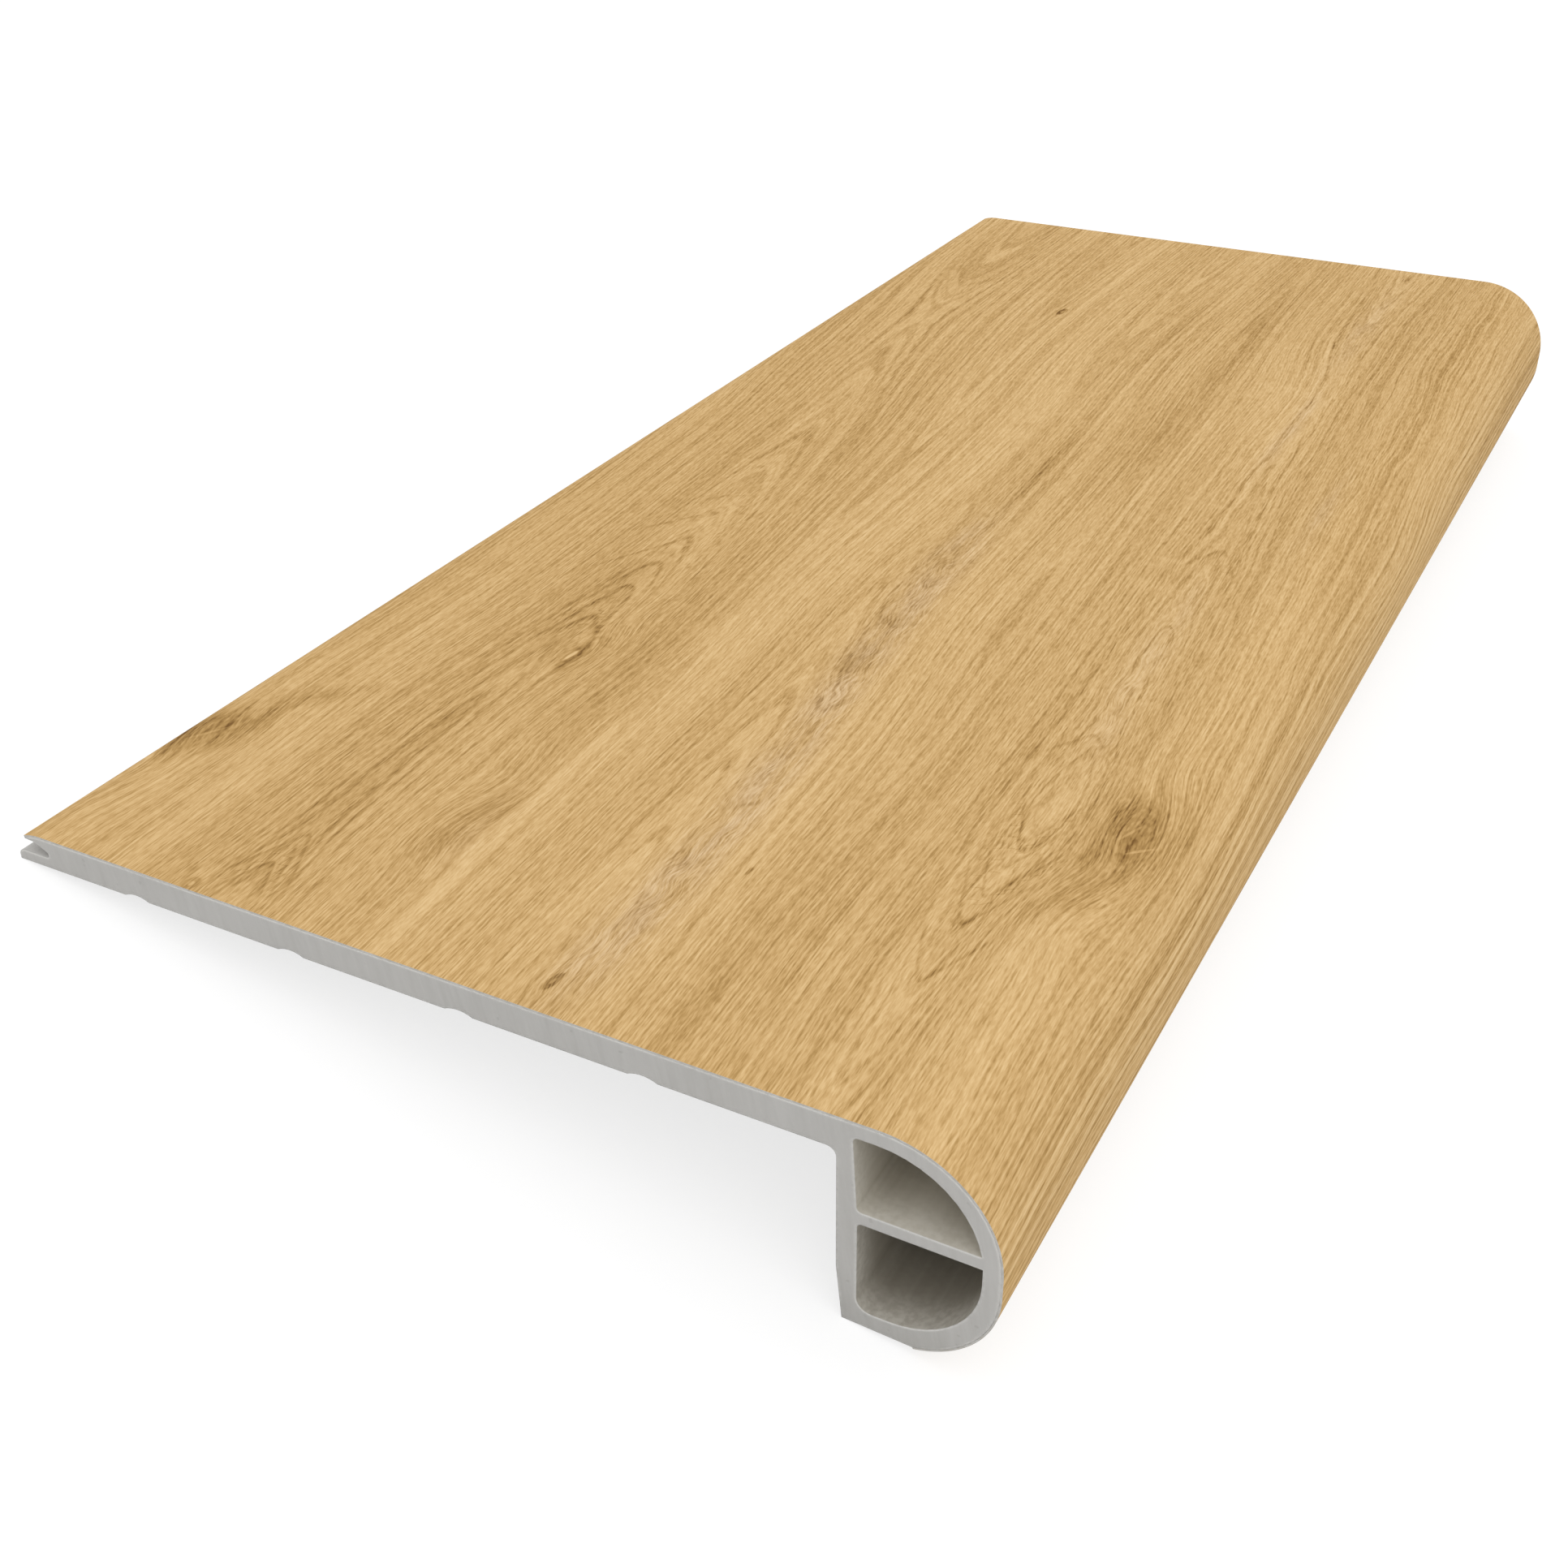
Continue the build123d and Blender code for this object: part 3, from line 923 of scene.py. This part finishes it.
def core_plastic():
    """Grey rigid plastic: die lines along the extruded faces, saw marks and crumbs on the cut ends, a painted
    highlight on their rims and painted shade at the foot.
    """
    g = Graph("core_plastic", specular=CORE_SPECULAR)
    x, y, z = g.place()
    normal = g.add("ShaderNodeNewGeometry", {}).outputs["True Normal"]
    facing = Signal(g, g.add("ShaderNodeSeparateXYZ", {0: Signal(g, normal)}).outputs[1])
    cut = g.step(g.math("ABSOLUTE", facing), *CUT_FACING)
    spot = g.vector(x, y, z)
    cloud = g.noise(spot, **CLOUD)
    grain = g.noise(spot, **GRAIN)
    saw = g.noise(g.vector(x * SAW_LIE[0] + z * SAW_LIE[1], z * SAW_LIE[2]), **SAW)
    crumbs = g.step(g.noise(spot, **CRUMB), *CRUMB_PART) * cut
    marks = cut * saw + (1.0 - cut) * g.die_lines(x, y, z, *DIE_LINES)
    # painted shade: darker near the floor at the foot
    foot = g.step(z, *FOOT_SHADE) * g.step(x, *FOOT_REACH)

    tone = 0.5 + (cloud - 0.5) * CORE_SHARES["cloud"] + (grain - 0.5) * CORE_SHARES["grain"]
    tone = tone + (marks - 0.5) * CORE_SHARES["marks"]
    tone = tone - crumbs * CORE_SHARES["crumbs"] - foot * CORE_SHARES["foot"]
    colour = g.ramp(tone, [(0.0, CORE_DARK), (0.5, CORE_MIDDLE), (1.0, CORE_LIGHT)])

    bevel = g.add("ShaderNodeBevel", {"Radius": RIM_ROUND * MM}, samples=RIM_SAMPLES)
    rounded = Signal(g, bevel.outputs["Normal"])
    turned = g.add("ShaderNodeVectorMath", {0: rounded, 1: Signal(g, normal)}, operation="DOT_PRODUCT")
    # painted highlight: the sawn rims turn pale where the rounded normal turns away
    rim = g.step(Signal(g, turned.outputs["Value"]), *RIM_TURN)
    colour = g.mix(rim * cut * g.step(cloud + grain, *RIM_PATCHES), colour, display(CORE_RIM_HIGHLIGHT))
    relief = marks * CORE_RELIEF_SHARES["marks"] + grain * CORE_RELIEF_SHARES["grain"] - crumbs
    g.bump(relief, *CORE_RELIEF, over=rounded)
    return g.finish_rough(colour, CORE_ROUGHNESS, grain)


def chamber_skin_painted_light(name):
    """Inside of a chamber: the warm, unsawn skin of the plastic, with faint die lines, painted light towards
    the cut ends, and darker colours in the lower chamber as painted shade.
    """
    g = Graph(f"{name}_chamber_skin_painted_light", specular=CHAMBER_SPECULAR)
    x, y, z = g.place()
    cloud = g.noise(g.vector(x, y * CHAMBER_CLOUD_RUN, z), **CHAMBER_CLOUD)
    die = g.die_lines(x, y, z, *CHAMBER_DIE_LINES)
    pits = g.noise(g.vector(x, y, z), **PITS)
    tone = cloud * CHAMBER_SHARES["cloud"] + die * CHAMBER_SHARES["die"] + pits * CHAMBER_SHARES["pits"]
    # the lower chamber's colours are darker, as painted shade
    colour = g.ramp(tone, list(zip(CHAMBER_SPAN, CHAMBER_SHADES[name])))
    # painted light: the walls pale towards the cut ends, in patches
    mouth_light = g.step(LENGTH / 2 - g.math("ABSOLUTE", y), *MOUTH_LIGHT_REACH) * g.step(pits, *MOUTH_PATCHES)
    relief = die * CHAMBER_RELIEF_SHARES["die"] + pits * CHAMBER_RELIEF_SHARES["pits"]
    g.bump(relief, *CHAMBER_RELIEF)
    return g.finish_rough(g.mix(mouth_light, colour, display(MOUTH_PAINTED_LIGHT)), CHAMBER_ROUGHNESS, pits)


def core_piece():
    """The core, copied from its solid, with seams between its facets closed and its rounds smooth."""
    mesh = frame["nodes"]["extruded_core"].data.copy()
    mesh.name = "core_profile"
    mesh.materials.clear()
    mesh.materials.append(core_plastic())
    for name in CHAMBER_SHADES:
        mesh.materials.append(chamber_skin_painted_light(name))
    work = bmesh.new()
    work.from_mesh(mesh)
    bmesh.ops.remove_doubles(work, verts=work.verts, dist=WELD * MM)
    for face in work.faces:
        face.material_index = lie.chamber_of(face)
    work.to_mesh(mesh)
    work.free()
    tidy_mesh(mesh)
    return shown("core_profile", mesh)


def dress():
    film = film_piece()
    film.data.materials.append(oak_print())
    film.data.materials.append(film_edge())
    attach(film, "root")
    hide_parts("decor_film")
    core = core_piece()
    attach(core, "root")
    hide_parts("extruded_core")


# Studio
def seen_directly(tree):
    """1 for what the camera sees directly, in a mirror or through glass."""
    path = tree.nodes.new("ShaderNodeLightPath")
    total = path.outputs["Is Camera Ray"]
    for name in ("Is Glossy Ray", "Is Transmission Ray"):
        either = tree.nodes.new("ShaderNodeMath")
        either.operation = "MAXIMUM"
        tree.links.new(total, either.inputs[0])
        tree.links.new(path.outputs[name], either.inputs[1])
        total = either.outputs[0]
    return total


def floor_material():
    """Pale floor: white to the camera except where the piece shades it."""
    material = bpy.data.materials.new("pale_floor")
    material.use_nodes = True
    tree = material.node_tree
    tree.nodes.clear()
    plain = tree.nodes.new("ShaderNodeBsdfDiffuse")
    plain.inputs["Color"].default_value = (FLOOR_GREY, FLOOR_GREY, FLOOR_GREY, 1)
    shade = tree.nodes.new("ShaderNodeBsdfDiffuse")
    shade.inputs["Color"].default_value = (FLOOR_SHADE, FLOOR_SHADE, FLOOR_SHADE, 1)
    glow = tree.nodes.new("ShaderNodeEmission")
    glow.inputs["Strength"].default_value = FLOOR_GLOW
    white = tree.nodes.new("ShaderNodeAddShader")
    tree.links.new(shade.outputs[0], white.inputs[0])
    tree.links.new(glow.outputs[0], white.inputs[1])
    choice = tree.nodes.new("ShaderNodeMixShader")
    tree.links.new(seen_directly(tree), choice.inputs[0])
    tree.links.new(plain.outputs[0], choice.inputs[1])
    tree.links.new(white.outputs[0], choice.inputs[2])
    output = tree.nodes.new("ShaderNodeOutputMaterial")
    tree.links.new(choice.outputs[0], output.inputs["Surface"])
    return material


def studio():
    half = FLOOR_SIZE / 2
    mesh = bpy.data.meshes.new("floor")
    corners = [(-half, -half, 0), (half, -half, 0), (half, half, 0), (-half, half, 0)]
    mesh.from_pydata(corners, [], [(0, 1, 2, 3)])
    mesh.materials.append(floor_material())
    shown("floor", mesh)

    world = bpy.data.worlds.new("studio")
    bpy.context.scene.world = world
    world.use_nodes = True
    tree = world.node_tree
    background = tree.nodes["Background"]
    strength = tree.nodes.new("ShaderNodeMapRange")
    strength.inputs["To Min"].default_value = WORLD_STRENGTH
    tree.links.new(seen_directly(tree), strength.inputs["Value"])
    background.inputs["Color"].default_value = (1, 1, 1, 1)
    tree.links.new(strength.outputs[0], background.inputs["Strength"])

    lamp = bpy.data.lights.new("key", "AREA")
    lamp.size = KEY_SIZE
    lamp.energy = KEY_POWER
    key = bpy.data.objects.new("key", lamp)
    key.location = KEY_PLACE
    key.rotation_euler = (-key.location).to_track_quat("-Z", "Y").to_euler()
    bpy.context.scene.collection.objects.link(key)


def camera():
    data = bpy.data.cameras.new("camera")
    data.lens = LENS
    data.sensor_width = SENSOR
    view = bpy.data.objects.new("camera", data)
    bpy.context.scene.collection.objects.link(view)
    turn = Matrix.Rotation(math.radians(CAMERA_HEADING), 3, "Z")
    turn = turn @ Matrix.Rotation(math.radians(90 - CAMERA_DROP), 3, "X")
    turn = turn @ Matrix.Rotation(math.radians(CAMERA_ROLL), 3, "Z")
    x, z = lie.place(CAMERA_PLACE[0], CAMERA_PLACE[2])
    spot = Vector((x, CAMERA_PLACE[1], z)) * MM
    view.matrix_world = Matrix.Translation(spot) @ (lie.rotation() @ turn).to_4x4()
    bpy.context.scene.camera = view


dress()
studio()
camera()
bpy.context.scene.view_settings.view_transform = "Standard"
